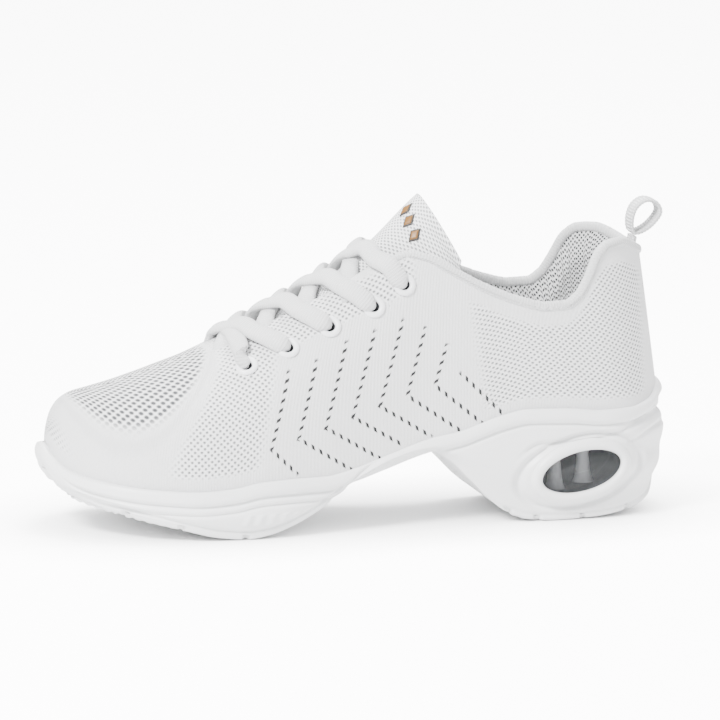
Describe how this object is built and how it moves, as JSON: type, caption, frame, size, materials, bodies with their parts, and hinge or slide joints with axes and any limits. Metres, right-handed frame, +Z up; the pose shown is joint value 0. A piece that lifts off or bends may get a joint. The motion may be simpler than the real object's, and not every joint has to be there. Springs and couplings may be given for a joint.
{
  "type": "cheer shoe",
  "caption": "Left cheer and dance shoe: white knitted lace-up upper on a one-piece sole with a deep arch and an oval heel air-cushion window.",
  "frame": {"origin": "centre of the shoe's bounding box, on the floor", "axes": "-X towards the toe, +X towards the heel, -Y the outer side of the left foot, +Z up"},
  "size_m": [0.2634, 0.0936, 0.1314],
  "materials": {
    "sole_foam": "satin",
    "tread_rubber": "matte",
    "clear_shell": "gloss",
    "smoke_plastic": "satin",
    "white_knit": "matte",
    "white_lining": "matte",
    "board": "matte",
    "foam": "matte",
    "stiffener": "matte",
    "eyelet_paint": "satin",
    "gold_thread": "satin",
    "tip_plastic": "gloss",
    "webbing": "matte"
  },
  "bodies": {
    "shoe": {"sole_unit": "sole_foam", "outsole_forefoot": "tread_rubber", "outsole_heel": "tread_rubber", "arch_shank": "stiffener", "air_cushion": "clear_shell", "window_lateral": "clear_shell", "window_medial": "clear_shell", "strobel_board": "board", "insole": "foam", "insole_cover": "white_lining", "knit_upper": "white_knit", "toe_puff": "stiffener", "eyestay_lateral": "stiffener", "eyestay_medial": "stiffener", "vamp_lining": "white_lining", "heel_counter": "stiffener", "collar_foam": "foam", "collar_lining": "white_lining", "collar_binding": "white_knit", "pull_tab_anchor": "webbing", "tongue_face": "white_knit", "tongue_foam": "foam", "tongue_lining": "white_lining", "shoelace": "white_knit", "aglet_lateral": "tip_plastic", "aglet_medial": "tip_plastic", "eyelet_lateral_1": "eyelet_paint", "eyelet_lateral_2": "eyelet_paint", "eyelet_lateral_3": "eyelet_paint", "eyelet_lateral_4": "eyelet_paint", "eyelet_lateral_5": "eyelet_paint", "eyelet_medial_1": "eyelet_paint", "eyelet_medial_2": "eyelet_paint", "eyelet_medial_3": "eyelet_paint", "eyelet_medial_4": "eyelet_paint", "eyelet_medial_5": "eyelet_paint", "air_pillar_1": "smoke_plastic", "air_pillar_2": "smoke_plastic", "air_pillar_3": "smoke_plastic", "air_pillar_4": "smoke_plastic", "air_pillar_5": "smoke_plastic", "air_pillar_6": "smoke_plastic"},
    "tongue_flap": {"tongue_flap_face": "white_knit", "tongue_flap_foam": "foam", "tongue_flap_lining": "white_lining", "tongue_stone_1": "gold_thread", "tongue_stone_2": "gold_thread", "tongue_stone_3": "gold_thread"},
    "pull_loop": {"pull_tab": "webbing"}
  },
  "joints": [
    {"name": "tongue_fold", "type": "hinge", "parent": "shoe", "child": "tongue_flap", "pos_m": [0.01336, 0, 0.11914], "axis": [0, 1, 0], "range_deg": [-40, 0], "stiffness_Nm_per_rad": 0.02},
    {"name": "pull_loop_tilt", "type": "hinge", "parent": "shoe", "child": "pull_loop", "pos_m": [0.11902, 0, 0.11324], "axis": [0, 1, 0], "range_deg": [-25, 30], "stiffness_Nm_per_rad": 0.004}
  ]
}
